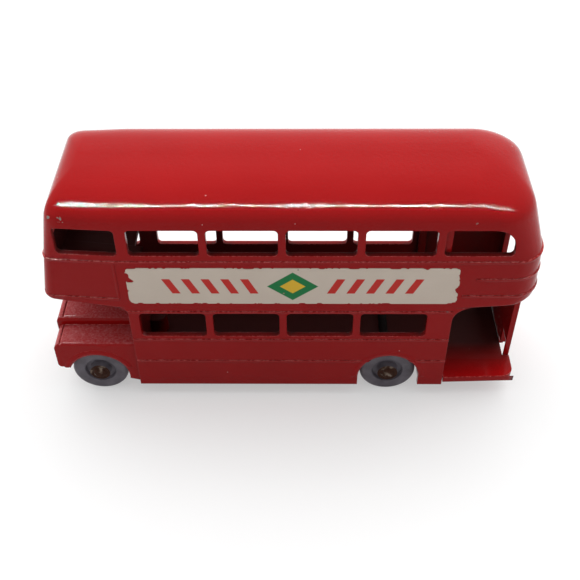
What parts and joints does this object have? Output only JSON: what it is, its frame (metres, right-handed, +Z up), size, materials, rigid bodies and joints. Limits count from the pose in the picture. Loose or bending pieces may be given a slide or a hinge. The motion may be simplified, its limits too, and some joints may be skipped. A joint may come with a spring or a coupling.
{
  "type": "toy bus",
  "caption": "Pocket-size die-cast toy double-decker bus with a half cab, open windows, open rear platform and free-rolling wheels.",
  "frame": {"origin": "on the ground under the middle of the bus's length and width", "axes": "-X out of the radiator, -Y out of the platform side, +Z up"},
  "size_m": [0.0678, 0.0208, 0.0354],
  "materials": {
    "red_enamel": "gloss enamel over cast zinc",
    "axle_steel": "dull, with brown rust",
    "wheel_plastic": "moulded grey, satin",
    "transfer_paper": "aged cream paper transfer"
  },
  "bodies": {
    "chassis": {"body_casting": "red_enamel", "base_plate": "red_enamel", "nearside_transfer": "transfer_paper", "offside_transfer": "transfer_paper"},
    "front_axle": {"front_axle": "axle_steel"},
    "rear_axle": {"rear_axle": "axle_steel"},
    "front_nearside_wheel": {"front_nearside_wheel": "wheel_plastic"},
    "front_offside_wheel": {"front_offside_wheel": "wheel_plastic"},
    "rear_nearside_wheel": {"rear_nearside_wheel": "wheel_plastic"},
    "rear_offside_wheel": {"rear_offside_wheel": "wheel_plastic"}
  },
  "joints": [
    {"name": "front_axle_spin", "type": "hinge", "parent": "chassis", "child": "front_axle", "pos_m": [-0.0279, 0, 0.00405], "axis": [0, 1, 0], "continuous": true},
    {"name": "front_nearside_wheel_spin", "type": "hinge", "parent": "front_axle", "child": "front_nearside_wheel", "pos_m": [-0.0279, 0, 0.00405], "axis": [0, 1, 0], "continuous": true},
    {"name": "front_offside_wheel_spin", "type": "hinge", "parent": "front_axle", "child": "front_offside_wheel", "pos_m": [-0.0279, 0, 0.00405], "axis": [0, 1, 0], "continuous": true},
    {"name": "rear_axle_spin", "type": "hinge", "parent": "chassis", "child": "rear_axle", "pos_m": [0.0144, 0, 0.00405], "axis": [0, 1, 0], "continuous": true},
    {"name": "rear_nearside_wheel_spin", "type": "hinge", "parent": "rear_axle", "child": "rear_nearside_wheel", "pos_m": [0.0144, 0, 0.00405], "axis": [0, 1, 0], "continuous": true},
    {"name": "rear_offside_wheel_spin", "type": "hinge", "parent": "rear_axle", "child": "rear_offside_wheel", "pos_m": [0.0144, 0, 0.00405], "axis": [0, 1, 0], "continuous": true}
  ]
}
